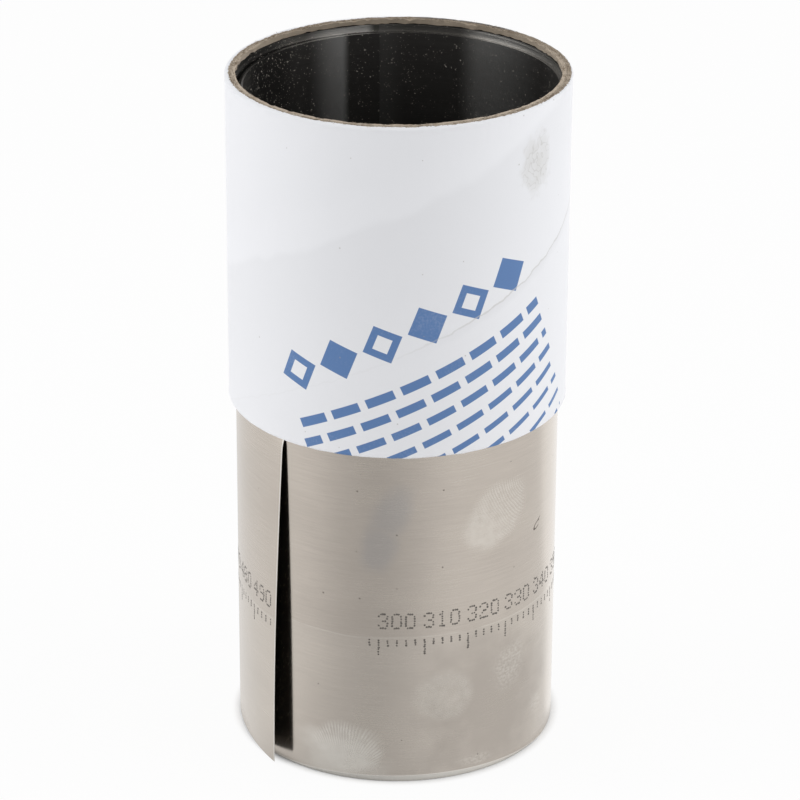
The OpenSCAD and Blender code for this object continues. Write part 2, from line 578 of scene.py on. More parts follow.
def edge_paint():
    """The slit edges of the strip, which show as turns on the roll's ends."""
    paint = Paint("slit_edges", ROLL_R)
    x, y, across = paint.x / BURR_LENGTH, paint.y / BURR_LENGTH, paint.radius / BURR_HEIGHT
    burr = paint.noise(x, y, across, detail=3.0)
    colour = paint.mix(rise(burr, 0.3, 0.6), EDGE_DARK, EDGE_PALE)
    colour = paint.mix(rise(paint.from_back(), *EDGES_SHADED) * 0.85, colour, EDGE_SHADE)
    paint.set(Base_Color=colour, Metallic=1.0, Roughness=burr * 0.2 + 0.25)
    return paint.bump(burr, 0.01).material


# Strip

STRIP_ROWS = (0, 3, 8, 15, 23, 32, 41, 50, 59, 67, 72, 75, 76.4, 77.4, 78.1, 78.8, 115, 150)
HIDDEN_STEP = math.radians(3)
SHOWN_STEP = math.radians(1)
SHOWN_TURNS = 1.25
LEDGE_TURNS = 2.2
SHARP_ANGLE = math.radians(40)

# The strip's materials, in the order of its slots
STEEL_SLOT, BORE_SLOT, EDGE_SLOT, COVERED_SLOT, CUT_SLOT, LEDGE_SLOT = range(6)


def smooth_step(values):
    """0 below 0 and 1 above 1, with a smooth step between."""
    values = np.clip(values, 0, 1)
    return values * values * (3 - 2 * values)


def slid(turned):
    """How far up the strip has slid, at an angle wound so far from its inner end."""
    turns_left = (WOUND - turned) / TURN
    share = smooth_step(SLID_ONSET * (1 - turns_left / SLID_TURNS))
    from_front = turned + INNER_END + math.pi / 2
    wave = np.maximum(SLID + SLID_WAVE * np.cos(2 * (from_front - SLID_PEAK)), SLID_LEAST)
    front = smooth_step((np.cos(from_front) / FRONT_REACH + 1) / 2)
    wound_on = smooth_step(END_SETTLING * (turns_left - END_SETTLED))
    height = SLID_END + (SLID_BACK + (wave - SLID_BACK) * front - SLID_END) * wound_on
    return share * height + EDGE_PLAY * (1 + np.sin(EDGE_PLAY_RATE * turned))


def strip_points(turned, height, side):
    """Points of the strip, from arrays that fit together.

    Turned is the angle wound so far from its inner end, height runs across its width,
    and side is -1 on the face towards the axis and 1 on the outer face.
    """
    left = WOUND - turned
    z = height + slid(turned)
    below = np.clip(SLEEVE_BOTTOM - z, 0, None)
    lift = CORNER_LIFT * np.sin(math.pi / 2 * np.clip(below / (SLEEVE_BOTTOM - SLID), 0, 1))
    popped = np.clip((SLEEVE_BOTTOM + EDGE_POP_START - z) / EDGE_POP_HEIGHT, 0, 1)
    lift = lift + EDGE_POP * np.sin(math.pi / 2 * popped)
    free_sweep = FREE_LENGTH / ROLL_R
    free = np.clip(1 - left / free_sweep, 0, 1)
    angle = INNER_END + turned - free * free_sweep * (1 - ROLL_R / (ROLL_R + ARC_LIFT_SHARE * lift))
    inner = np.clip(LOOSE_TURNS + 1 - turned / TURN, 0, 1)
    sag = LOOSE_GAP * inner * ((1 + np.cos(angle - LOOSE_SIDE)) / 2) ** 2
    within = (1 + side * RIBBON_SHARE) / 2 - left / TURN
    radius = ROLL_R + HAIRLINE + THICKNESS * within
    radius = radius + lift * free ** 2 - sag
    return np.stack([radius * np.cos(angle), radius * np.sin(angle), z], axis=-1)


def add_mesh(name, points, faces, materials, slots):
    """A mesh object from points in millimetres; slots gives each face's material."""
    mesh = bpy.data.meshes.new(name)
    mesh.from_pydata((np.asarray(points) * MM).tolist(), [], faces)
    for material in materials:
        mesh.materials.append(material)
    mesh.polygons.foreach_set("material_index", slots)
    mesh.polygons.foreach_set("use_smooth", [True] * len(mesh.polygons))
    mesh.set_sharp_from_angle(angle=SHARP_ANGLE)
    mesh.validate()
    thing = bpy.data.objects.new(name, mesh)
    bpy.context.collection.objects.link(thing)
    return thing


def strip_mesh():
    """The whole strip as one closed ribbon, from its inner end to its loose outer end."""
    shown_from = WOUND - SHOWN_TURNS * TURN
    shown_steps = round(SHOWN_TURNS * TURN / SHOWN_STEP)
    turned = np.concatenate([
        np.linspace(0, shown_from, round(shown_from / HIDDEN_STEP), endpoint=False),
        np.linspace(shown_from, WOUND - CUT_MARGIN / ROLL_R, shown_steps + 1),
        [WOUND],
    ])
    # Round each station: up the inner face, then down the outer face
    rows = len(STRIP_ROWS)
    ring = 2 * rows
    heights = np.array(STRIP_ROWS + STRIP_ROWS[::-1], dtype=float) * STRIP_WIDTH / STRIP_ROWS[-1]
    sides = np.array([-1.0] * rows + [1.0] * rows)
    points = strip_points(turned[:, None], heights[None, :], sides[None, :]).reshape(-1, 3)
    faces, slots = [], []
    last = len(turned) - 1
    free_sweep = FREE_LENGTH / ROLL_R
    for station in range(last):
        is_covered = turned[station] < WOUND - TURN - free_sweep
        on_ledge = WOUND - LEDGE_TURNS * TURN < turned[station] < WOUND - free_sweep
        inside = LEDGE_SLOT if on_ledge else BORE_SLOT
        outside = COVERED_SLOT if is_covered else STEEL_SLOT
        if station == last - 1:
            outside = CUT_SLOT
        for k in range(ring):
            a, b = station * ring + k, station * ring + (k + 1) % ring
            faces.append((a, b, b + ring, a + ring))
            is_edge = k in (rows - 1, ring - 1)
            slots.append(EDGE_SLOT if is_edge else inside if k < rows else outside)
    end = last * ring
    for k in range(rows - 1):
        faces.append((k, ring - 1 - k, ring - 2 - k, k + 1))
        faces.append((end + k, end + k + 1, end + ring - 2 - k, end + ring - 1 - k))
        slots += [CUT_SLOT, CUT_SLOT]
    bore = bore_paint("bore_painted_shade", BORE_SHADED_STEEL, BORE_STREAK_LIGHT, *BORE_STREAKS)
    ledge = bore_paint("ledge_painted_shade", LEDGE_SHADED_STEEL, LEDGE_STREAK_LIGHT, *LEDGE_STREAKS)
    paints = [steel_paint(), bore, edge_paint(), covered_reflection_paint(), cut_highlight_paint(), ledge]
    return add_mesh("shim_strip", points, faces, paints, slots)


# Length marks: a dotted scale along the strip, as a stock cutter's counting marks

DOT_R = 0.25
DOT_UP = 0.56
DOT_ROUND = 0.47
DOT_SIDES = 8
DOT_CLEAR = 0.012
DOT_SPREAD = (0.8, 1.15)
DOT_WANDER = 0.04
JET_INK, JET_INK_THIN = (0.075, 0.066, 0.058), (0.20, 0.178, 0.158)
MARK_STEP = 2
NUMBER_STEP = 10
LONG_TICK, SHORT_TICK = 7, 3
COUNT_AT_END = 500
NUMBER_TOP = 41.4
TICK_TOP = 35.0
DIGIT_ADVANCE = 6.3
DIGITS = {
    "0": "01110 10001 10001 10001 10001 10001 01110",
    "1": "00100 01100 00100 00100 00100 00100 01110",
    "2": "01110 10001 00001 00110 01000 10000 11111",
    "3": "01110 10001 00001 00110 00001 10001 01110",
    "4": "00010 00110 01010 10010 11111 00010 00010",
    "5": "11111 10000 11110 00001 00001 10001 01110",
    "6": "01110 10000 10000 11110 10001 10001 01110",
    "7": "11111 00001 00010 00100 00100 01000 01000",
    "8": "01110 10001 10001 01110 10001 10001 01110",
    "9": "01110 10001 10001 01111 00001 00001 01110",
}
MARK_START = math.radians(30)


def mark_dots():
    """The dots' places: millimetres back along the strip from its outer end, and height."""
    dots = []
    visible = (TURN - MARK_START) * ROLL_R
    for along in range(MARK_STEP, int(visible), MARK_STEP):
        is_long = along % NUMBER_STEP == 0
        tick = LONG_TICK if is_long else SHORT_TICK
        dots += [(along, TICK_TOP - k * DOT_UP) for k in range(tick)]
        if not is_long:
            continue
        for place, digit in enumerate(str(COUNT_AT_END - along)):
            for row, bits in enumerate(DIGITS[digit].split()):
                for column, bit in enumerate(bits):
                    if bit == "1":
                        across = (place * DIGIT_ADVANCE + column) * DOT_ROUND
                        dots.append((along - across, NUMBER_TOP - row * DOT_UP))
    return dots


def ink_paint():
    """Grey-black jet ink, broken where it has dried thin."""
    paint = Paint("jet_ink", ROLL_R)
    thin = paint.grain(0.25, 0.25, detail=3.0)
    colour = paint.mix(rise(thin, 0.35, 0.7), JET_INK, JET_INK_THIN)
    paint.set(Base_Color=colour, Roughness=thin * 0.3 + 0.4)
    return paint.bump(thin, 0.01).material


def marks_mesh():
    """Every dot as a thin disc that lies on the strip's outer face."""
    rng = np.random.default_rng(SEED)
    points, faces = [], []
    spin = np.linspace(0, TURN, DOT_SIDES, endpoint=False)
    for along, height in mark_dots():
        size = DOT_R * rng.uniform(*DOT_SPREAD)
        along, height = along + rng.normal(0, DOT_WANDER), height + rng.normal(0, DOT_WANDER)
        turned = WOUND - (along + size * np.cos(spin)) / ROLL_R
        heights = height + size * np.sin(spin) - slid(WOUND - along / ROLL_R)
        on_strip = strip_points(turned, heights, np.ones(DOT_SIDES))
        outward = on_strip * (1, 1, 0) / np.linalg.norm(on_strip[:, :2], axis=1)[:, None]
        base = len(points)
        points += list(on_strip - outward * DOT_CLEAR) + list(on_strip + outward * DOT_CLEAR)
        low, high = range(base, base + DOT_SIDES), range(base + DOT_SIDES, base + 2 * DOT_SIDES)
        faces += [tuple(low), tuple(reversed(high))]
        for k in range(DOT_SIDES):
            n = (k + 1) % DOT_SIDES
            faces.append((low[k], high[k], high[n], low[n]))
    return add_mesh("length_marks", points, faces, [ink_paint()], [0] * len(faces))


# Sleeve

SLEEVE_COLUMNS = 640
SLEEVE_ROWS = 56
ARC_STEPS = 5
RIM_POINTS = 6
INSIDE_POINTS = 8

# How rough the rounded edges and the cut corners are, where the rim's top is 1
ROUND_FRAY = 0.3
EDGE_FRAY = 0.6

# The outer ply's relief: the seam's ridge and its width, the step at the ply edge beneath and
# its length, and long waves
PLY_REST = -0.12
SEAM_RIDGE, SEAM_RIDGE_WIDTH = 0.05, 0.9
PLY_STEP, PLY_STEP_LENGTH, PLY_STEP_END = 0.049, 0.8, 12
WAVE_DEPTH, WAVE_ALONG, WAVE_ACROSS = 0.02, 9.0, 6.5

PAPER = (0.856, 0.863, 0.892)
INK_BLUE = (0.11, 0.215, 0.445)
BOARD = (0.37, 0.295, 0.217)
BOARD_DARK = (0.155, 0.125, 0.093)
# Paler board towards the front
BOARD_FRONT_PALE = (0.68, 0.58, 0.47)
SMEAR_GREY = (0.60, 0.59, 0.56)
SEAM_GREY = (0.60, 0.59, 0.58)
NICK_GREY = (0.36, 0.34, 0.31)
# Darker grey along the rim's outer edge at the back
BACK_EDGE_GREY = (0.09, 0.088, 0.085)
FIBRE_PALE = (0.62, 0.56, 0.48)
BOARD_PALE = (0.55, 0.46, 0.36)
# Painted shade for the inner wall under the lip
BOARD_SHADE_INSIDE = (0.05, 0.044, 0.037)

# Printed bands, along and across the winding: a row of diamonds, then rows of ever thinner bars
PRINT_REPEAT = 132.0
PRINT_START, PRINT_END = 14.0, 76.0
PLY_TOP = 106.0
DIAMOND_MIDDLE, DIAMOND_HALF, DIAMOND_PITCH = 97.6, 4.6, 10.4
BAR_TOP, BAR_PITCH, BAR_ROWS = 88.5, 4.5, 9
BAR_THICKEST, BAR_THINNEST = 2.1, 0.7
BAR_LENGTH, BAR_GAP = 8.2, 1.7
BAR_SHIFT = 0.37
PRINT_SOFT = 0.06

# Across the winding, from the seam and from the ply edge under the paper: where each band
# starts, is full, fades and ends; the shade bands are painted shade and the ridge band is a
# painted highlight. And along the winding, where the seam lifts
SEAM_SHADE = (-2.6, -0.2, -0.1, 0.1)
PLY_SHADE = (-32.0, -2.0, -1.2, 1.2)
PLY_RIDGE_LIGHT = (-1.0, 1.5, 1.5, 12.0)
SEAM_LIFTS = (38.0, 66.0)

# A thumbed smear near the rim: direction from the front, height, half width and half height
THUMBED_SIDE, THUMBED_HEIGHT = math.radians(51), 140.8
THUMBED_HALF_WIDTH, THUMBED_HALF_HEIGHT = 5.4, 7.4

# Texture cells of the paper and the board
FIBRE_CELL = 0.5
CLOUD_CELL = 17
PAPER_FLECK_CELL = 13
TEAR_CELL = 0.8
PULP_CELL, PULP_DEPTH = 0.35, 0.12
PLY_THICKNESS = 0.36

# A dark line along the outer edge at the back: direction in radians from the front, and how far it
# spreads to each side
BACK_EDGE_SIDE = 2.72
BACK_EDGE_SPREAD = 0.42


def winding_place(arc, height):
    """Places along and across the winding, for fields and arrays alike."""
    along = arc * math.cos(HELIX) + height * math.sin(HELIX)
    across = height * math.cos(HELIX) - arc * math.sin(HELIX)
    return along, across


def printed_bands(along, across):
    """The sleeve's print as a field: 1 on ink. Its block comes again and again along the winding."""
    turns = whole((across - PLY_TOP) / PLY_WIDTH) + 1.0
    across = across - turns * PLY_WIDTH
    along = along + turns * (TURN * SLEEVE_R * math.cos(HELIX))
    along = along - whole(along / PRINT_REPEAT) * PRINT_REPEAT
    cell = (along - PRINT_START) / DIAMOND_PITCH
    number = whole(cell)
    sideways = size_of(cell - number - 0.5) * DIAMOND_PITCH
    from_middle = sideways + size_of(across - DIAMOND_MIDDLE)
    every_second = number - whole(number / 2.0) * 2.0
    diamond = rise(from_middle, DIAMOND_HALF + 0.07, DIAMOND_HALF - 0.07)
    hole = DIAMOND_HALF * 0.5
    hollow = rise(from_middle + every_second * DIAMOND_HALF, hole, hole + 0.12)
    row = whole((BAR_TOP - across) / BAR_PITCH)
    inside = (BAR_TOP - across) / BAR_PITCH - row - 0.5
    thickness = BAR_THICKEST - row * ((BAR_THICKEST - BAR_THINNEST) / (BAR_ROWS - 1))
    across_bar = rise(size_of(inside) * BAR_PITCH - thickness / 2.0, PRINT_SOFT, -PRINT_SOFT)
    shifted = (along - PRINT_START + row * (BAR_LENGTH * BAR_SHIFT)) / BAR_LENGTH
    half_bar = (BAR_LENGTH - BAR_GAP) / 2
    from_bar = size_of(shifted - whole(shifted) - 0.5) * BAR_LENGTH
    along_bar = rise(from_bar, half_bar + PRINT_SOFT, half_bar - PRINT_SOFT)
    in_rows = window(row, -0.6, -0.4, BAR_ROWS - 0.6, BAR_ROWS - 0.4)
    in_block = window(along, PRINT_START - PRINT_SOFT, PRINT_START + PRINT_SOFT,
                      PRINT_END - PRINT_SOFT, PRINT_END + PRINT_SOFT)
    return larger(diamond * hollow, across_bar * along_bar * in_rows) * in_block


def thumbed_smear(paint):
    """A smear near the rim, as two fields: its patch, and how uneven it is."""
    along = (paint.angle - THUMBED_SIDE) * SLEEVE_R / THUMBED_HALF_WIDTH
    up = (paint.height - THUMBED_HEIGHT) / THUMBED_HALF_HEIGHT
    uneven = paint.grain(2.4, 3.0, 6.0, detail=4.0)
    return rise(oval_distance(along, up) + (uneven - 0.5) * 1.2, 1.1, 0.5), uneven


def paper_dirt(paint, along, across, below_rim, smear):
    """Squiggles where dirt has rolled up in the smear, nicks near the rim, and flecks."""
    squiggles = line(paint.grain(2.2, 2.2, 11.0, detail=1.0) - 0.5, 0.012, 0.03) * smear * 0.55
    nicks = rise(paint.noise(along / 1.6, across / 0.2, 12.0, detail=1.0), 0.76, 0.82)
    nick_zone = rise(below_rim, 7.0, 1.5) * rise(paint.grain(9, SLEEVE_TOP, 8.0), 0.5, 0.6)
    x, y = paint.arc / PAPER_FLECK_CELL, paint.height / PAPER_FLECK_CELL
    return larger(nicks * nick_zone, larger(squiggles, paint.specks(x, y, 0.012, 0.45)))


def paper_face(paint, fibres, below_rim):
    """The printed paper, as three fields: its colour, its seam and its smear."""
    along, across = winding_place(paint.arc, paint.height)
    cloud = paint.grain(CLOUD_CELL, CLOUD_CELL, 4.0, detail=3.0)

    # The seam, which lifts and wanders towards the right, and the ply edge above it
    wander = paint.grain(3.5, 3.5, 7.0, detail=3.0) - 0.5
    from_seam = across - SEAM_ACROSS + wander * 1.8
    lifted = rise(along, *SEAM_LIFTS)
    seam = line(from_seam, 0.14, 0.2) * (lifted * 0.9 + 0.1)
    seam_shade = window(from_seam, *SEAM_SHADE) * lifted
    # Painted shade below the ply edge under the paper, and a painted highlight above it
    under = across - SEAM_ACROSS - UNDER_SEAM + (paint.grain(11, 11, 3.0) - 0.5) * 4.0
    shade = window(under, *PLY_SHADE)
    ridge = window(under, *PLY_RIDGE_LIGHT)

    smear, uneven = thumbed_smear(paint)
    dirt = paper_dirt(paint, along, across, below_rim, smear)
    ink = printed_bands(along, across)
    ink = ink * (rise(fibres * 0.5 + cloud * 0.5, 0.2, 0.5) * 0.16 + 0.84)
    ink = ink * rise(below_rim, 1.2, 1.5)

    paper = paint.layers(
        paint.mix(cloud * 0.5 + fibres * 0.5, scaled(PAPER, 0.985), scaled(PAPER, 1.01)),
        (shade * 0.42 + seam_shade * 0.7, scaled(PAPER, 0.93)),
        (ridge * 0.4, scaled(PAPER, 1.04)),
        (smear * (uneven * 0.6 + 0.1), SMEAR_GREY),
        (ink, INK_BLUE),
        (seam * 0.6, SEAM_GREY),
        (dirt * 0.45, NICK_GREY),
    )
    return paper, seam, smear


def raw_board(paint, below_rim):
    """Wound plies, paler towards the front, with painted shade on the inner wall under the lip, as
    colour and pulp fields.
    """
    radius = paint.radius
    x, y = paint.x / PULP_CELL, paint.y / PULP_CELL
    depth = radius / PULP_DEPTH + paint.height / PULP_CELL
    pulp = paint.noise(x, y, depth, detail=4.0, roughness=0.65)
    plies = sine((radius + (pulp - 0.5) * 0.18) * (TURN / PLY_THICKNESS))
    outer_plies = rise(radius, SLEEVE_R - 1.8, SLEEVE_R - 1.4)
    chunks = rise(paint.grain(1.1, 1.1, 13.0, detail=3.0), 0.38, 0.62)
    # Paler towards the front
    worn = rise(paint.facing(), -0.9, 0.1) * (1.0 - outer_plies * (1.0 - chunks * 0.6)) * 0.62
    inner, lip = SLEEVE_R - SLEEVE_WALL, SLEEVE_R - SLEEVE_WALL - LIP_REACH
    # Painted shade on the inner wall under the lip
    inside = rise(radius, inner + 0.12, inner + 0.04)
    shaded_under_lip = rise(below_rim, LIP_EDGE + 0.05, LIP_EDGE + 0.15)
    board = paint.layers(
        paint.mix(rise(pulp * 0.9 + plies * 0.16, 0.3, 0.68), BOARD_DARK, BOARD),
        (worn, BOARD_FRONT_PALE),
        (rise(radius, lip + 0.3, lip + 0.15) * 0.5, BOARD_PALE),
        (inside * shaded_under_lip, BOARD_SHADE_INSIDE),
    )
    return board, pulp


def paper_skin(paint, below_rim):
    """1 where paper covers the board: torn where it reaches over the edge, whole on the wall."""
    tear = (paint.grain(TEAR_CELL, TEAR_CELL, 2.0, detail=4.0, roughness=0.7) - 0.5) * 0.9
    fold = FOLD - sine(paint.angle + FOLD_SIDE) * FOLD_LEAN
    fold = fold + rise(paint.facing(), 0.1, 0.5) * FRONT_FOLD
    over_edge = rise(paint.radius - SLEEVE_R + fold + tear, -0.05, 0.05)
    on_wall = rise(paint.radius, SLEEVE_R - 0.45, SLEEVE_R - 0.35) * rise(below_rim, 0.45, 0.6)
    return larger(over_edge, on_wall)


def back_edge_dark(paint, below_rim):
    """A darker line as a field, along the outer edge at the back, towards the right."""
    beside = rise(size_of(paint.angle - BACK_EDGE_SIDE), BACK_EDGE_SPREAD, 0.2)
    on_edge = rise(paint.radius, SLEEVE_R - 1.7, SLEEVE_R - 1.25)
    return beside * on_edge * rise(below_rim, 0.9, 0.4)


def sleeve_paint():
    """White paper over wound brown board, which shows where the knife has cut the paper."""
    paint = Paint("paper_faced_board", SLEEVE_R)
    below_rim = SLEEVE_TOP + CUT_RISE + sine(paint.angle + CUT_SIDE) * CUT_TILT - paint.height
    fibres = paint.grain(FIBRE_CELL, FIBRE_CELL, detail=4.0, roughness=0.6)
    paper, seam, smear = paper_face(paint, fibres, below_rim)
    board, pulp = raw_board(paint, below_rim)
    skin = paper_skin(paint, below_rim)
    colour = paint.mix(skin, board, paper)
    back_edge = back_edge_dark(paint, below_rim)
    colour = paint.mix(back_edge * (pulp * 0.6 + 0.4), colour, BACK_EDGE_GREY)

    roughness = 0.86 - skin * 0.3 + smear * 0.1
    paint.set(Base_Color=colour, Roughness=roughness, Specular_IOR_Level=0.35)
    relief = fibres * 0.08 + (1.0 - seam) * 0.25 * skin + pulp * (1.0 - skin)
    return paint.bump(relief, 0.12).material


def fibre_paint():
    """Loose fibres, from kraft brown to bleached."""
    paint = Paint("loose_fibre", SLEEVE_R)
    bleached = paint.grain(0.9, 0.9)
    colour = paint.mix(rise(bleached, 0.4, 0.62), BOARD, FIBRE_PALE)
    return paint.set(Base_Color=colour, Roughness=0.9, Specular_IOR_Level=0.2).material


def smooth_noise(rng, count, cells):
    """Periodic noise of that many cells round the rim, about 0, with a spread of about 1."""
    values = rng.normal(0, 1, cells)
    place = np.arange(count) * cells / count
    low = place.astype(int) % cells
    part = place % 1
    part = part * part * (3 - 2 * part)
    return values[low] * (1 - part) + values[(low + 1) % cells] * part


def quarter_arc(x, z, r, start):
    """Points of a quarter circle in the sleeve's section, from the start angle in degrees."""
    turn = np.radians(start + np.linspace(0, 90, ARC_STEPS + 1))
    return list(zip(x + r * np.cos(turn), z + r * np.sin(turn)))


def sleeve_section():
    """The closed section as (radius, height, fray) points: fray is how rough the knife left it."""
    inner = SLEEVE_R - SLEEVE_WALL
    lip = inner - LIP_REACH
    corner = SLEEVE_R - EDGE_ROUND
    low, high = SLEEVE_BOTTOM + EDGE_ROUND, SLEEVE_TOP - EDGE_ROUND
    lip_foot = SLEEVE_TOP - LIP_HEIGHT
    section = [(r, z, ROUND_FRAY) for r, z in quarter_arc(corner, low, EDGE_ROUND, -90)]
    section += [(SLEEVE_R, z, 0.0) for z in np.linspace(low, high, SLEEVE_ROWS)[1:-1]]
    section += [(r, z, ROUND_FRAY) for r, z in quarter_arc(corner, high, EDGE_ROUND, 0)]
    section += [(r, SLEEVE_TOP, 1.0) for r in np.linspace(corner, lip, RIM_POINTS)[1:]]
    section += [(lip, SLEEVE_TOP - LIP_EDGE, EDGE_FRAY), (inner, lip_foot, 0.0)]
    section += [(inner, z, 0.0) for z in np.linspace(lip_foot, SLEEVE_BOTTOM, INSIDE_POINTS)[1:]]
    section += [((inner + corner) / 2, SLEEVE_BOTTOM, EDGE_FRAY)]
    return section


def sleeve_relief(arc, height):
    """How far the outer ply stands out: proud along the seam and past the ply edge, and uneven."""
    along, across = winding_place(arc, height)
    from_seam = (across - SEAM_ACROSS + PLY_WIDTH / 2) % PLY_WIDTH - PLY_WIDTH / 2
    ridge = SEAM_RIDGE * np.exp(-(from_seam / SEAM_RIDGE_WIDTH) ** 2)
    step = PLY_STEP / (1 + np.exp(-(from_seam - UNDER_SEAM) / PLY_STEP_LENGTH))
    step = step * (from_seam < PLY_WIDTH / 2 - PLY_STEP_END)
    waves = WAVE_DEPTH * np.sin(along / WAVE_ALONG) * np.sin(across / WAVE_ACROSS)
    return PLY_REST + ridge + step + waves


# The knife's fray: coarse cells round the rim, depths, the share that goes outwards,
# the highest rise, and what counts as near an edge
COARSE_CELLS = 60
COARSE_FRAY, MIDDLE_FRAY, FINE_FRAY = 0.06, 0.1, 0.12
FRAY_OUTWARD = 0.5
FRAY_HIGHEST = 0.05
NEAR_EDGE = 0.2

FIBRES = 2200
FIBRE_R = 0.065
FIBRE_SPREAD = (0.5, 1.3)
FIBRE_LENGTHS = (0.25, 0.75)
FIBRE_TAPER = ((0.0, 1.0), (0.5, 0.9), (1.0, 0.35))
FIBRE_CURL = 0.2
FIBRE_SINK = 0.06
FIBRE_MARGIN = 0.2
FIBRE_REACH = SLEEVE_R - 0.15


def cut_rise(angle):
    """How far the rim stands above a square cut, at an angle from +X."""
    return CUT_RISE + CUT_TILT * np.sin(angle + math.pi / 2 + CUT_SIDE)


def rim_fibres(rng):
    """Loose paper fibres on the cut rim, each a short bent three-sided whisker."""
    points, faces = [], []
    inmost = SLEEVE_R - SLEEVE_WALL - 0.9 * LIP_REACH
    for _ in range(FIBRES):
        angle = rng.uniform(0, TURN)
        out = np.array([math.cos(angle), math.sin(angle), 0])
        round_ = np.array([-math.sin(angle), math.cos(angle), 0])
        up = np.array([0, 0, 1.0])
        outmost = SLEEVE_R - FOLD + FOLD_LEAN * math.cos(angle + FOLD_SIDE) - FIBRE_MARGIN
        radius = rng.uniform(inmost, outmost)
        start = out * radius + up * (SLEEVE_TOP + cut_rise(angle) - FIBRE_SINK)
        heading = round_ * rng.normal(0, 1)
        heading = heading + out * rng.normal(-0.1, 0.5) + up * rng.uniform(-0.1, 0.2)
        heading = heading / np.linalg.norm(heading)
        curl = rng.normal(0, FIBRE_CURL, 3) * (1, 1, 0.6)
        length = rng.uniform(*FIBRE_LENGTHS)
        thick = FIBRE_R * rng.uniform(*FIBRE_SPREAD)
        base = len(points)
        for step, width in FIBRE_TAPER:
            middle = start + (heading * step + curl * step * step) * length
            middle[:2] *= min(1.0, FIBRE_REACH / np.hypot(*middle[:2]))
            for k in range(3):
                spin = k * TURN / 3
                points.append(middle + (out * math.cos(spin) + up * math.sin(spin)) * thick * width)
        for low in (base, base + 3):
            for k in range(3):
                n = (k + 1) % 3
                faces.append((low + k, low + n, low + 3 + n, low + 3 + k))
        faces += [(base + 2, base + 1, base), (base + 6, base + 7, base + 8)]
    return points, faces


def sleeve_mesh():
    """The sleeve as one closed tube, with its frayed rim and its fibres."""
    rng = np.random.default_rng(SEED)
    section = sleeve_section()
    angle = np.linspace(0, TURN, SLEEVE_COLUMNS, endpoint=False)
    from_front = (angle + math.pi / 2 + math.pi) % TURN - math.pi
    coarse = smooth_noise(rng, SLEEVE_COLUMNS, COARSE_CELLS)
    points = []
    for radius, height, fray in section:
        fine = smooth_noise(rng, SLEEVE_COLUMNS, SLEEVE_COLUMNS // 3)
        middle = smooth_noise(rng, SLEEVE_COLUMNS, SLEEVE_COLUMNS // 8)
        rough = fray * (COARSE_FRAY * coarse + MIDDLE_FRAY * middle + FINE_FRAY * fine)
        outward = radius + FRAY_OUTWARD * rough
        if radius == SLEEVE_R:
            outward = outward + sleeve_relief(from_front * SLEEVE_R, height)
        if height > SLEEVE_TOP - NEAR_EDGE:
            upward = np.minimum(rough, FRAY_HIGHEST)
        else:
            upward = rough * (radius < SLEEVE_R - NEAR_EDGE)
        below_lip = SLEEVE_TOP - LIP_HEIGHT - height
        upward = upward + cut_rise(angle) * np.clip(1 - below_lip / CUT_REACH, 0, 1)
        ring = [outward * np.cos(angle), outward * np.sin(angle), height + upward]
        points.append(np.stack(ring, axis=-1))
    rows = len(section)
    points = list(np.concatenate(points))
    faces = []
    for row in range(rows):
        here, over = row * SLEEVE_COLUMNS, (row + 1) % rows * SLEEVE_COLUMNS
        for k in range(SLEEVE_COLUMNS):
            n = (k + 1) % SLEEVE_COLUMNS
            faces.append((here + k, here + n, over + n, over + k))
    slots = [0] * len(faces)
    fibre_points, fibre_faces = rim_fibres(rng)
    base = len(points)
    points += fibre_points
    faces += [tuple(base + i for i in face) for face in fibre_faces]
    slots += [1] * len(fibre_faces)
    return add_mesh("paper_sleeve", points, faces, [sleeve_paint(), fibre_paint()], slots)


# Stage

FLOOR_SIZE = 6000
FLOOR_WHITE = (0.93, 0.93, 0.93)
FLOOR_GLOW = 0.92
RIGHT_LIFT = 0.28
HORIZON_LEVEL = 0.95
ZENITH_LEVEL = 0.7
FRONT_FALL = 0.3
CARD_SIZE = 300
CARD_HEIGHT = 0.05
CARD_GREY = (0.2, 0.2, 0.2)
CARD_DENSITY = 0.45
CARD_SIDE = math.radians(-14)
CARD_SPREAD = math.radians(60)
LAMP_POWER = 3.1

# The soft box on the right, in metres and radians; the left one is its mirror image
LAMP_SIZE = (0.7, 0.9)
LAMP_AT = (0.95, -0.15, 0.55)
LAMP_TILT, LAMP_TURN = math.radians(65), math.radians(80)

# The brighter floor that the roll's right edge mirrors: a wedge whose tip lies in front of the
# axis, its slopes, and the two distances behind the axis between which it widens
WEDGE_TIP = 9.0
WEDGE_SLOPES = (1.0, 0.45)
WEDGE_WIDENS = (20.0, 80.0)

WHITE = (1, 1, 1, 1)

# Camera: place, pitch below the horizon and roll in degrees, focal length and lens shift
CAMERA_AT = (0.0, -762.7, 417.32)
CAMERA_PITCH = 24.147
CAMERA_ROLL = 0.28
SENSOR = 36.0
FOCAL = 170.27
SHIFT_X, SHIFT_Y = 0.0036, 0.0049


def seen_directly(tree):
    """1 for the camera's own rays and for those that come by way of metal or glass."""
    paths = tree.nodes.new("ShaderNodeLightPath")
    names = ("Is Camera Ray", "Is Glossy Ray", "Is Transmission Ray")
    return largest(Field(tree, paths.outputs[name]) for name in names)


def blend(paint, factor, second):
    """Puts a mix of the paint's shader and a second one on the material."""
    mixer = paint.tree.nodes.new("ShaderNodeMixShader")
    plug(paint.tree, mixer.inputs[0], factor)
    paint.tree.links.new(paint.shader.outputs[0], mixer.inputs[1])
    paint.tree.links.new(second.outputs[0], mixer.inputs[2])
    paint.tree.links.new(mixer.outputs[0], paint.tree.nodes["Material Output"].inputs["Surface"])
    return paint.material


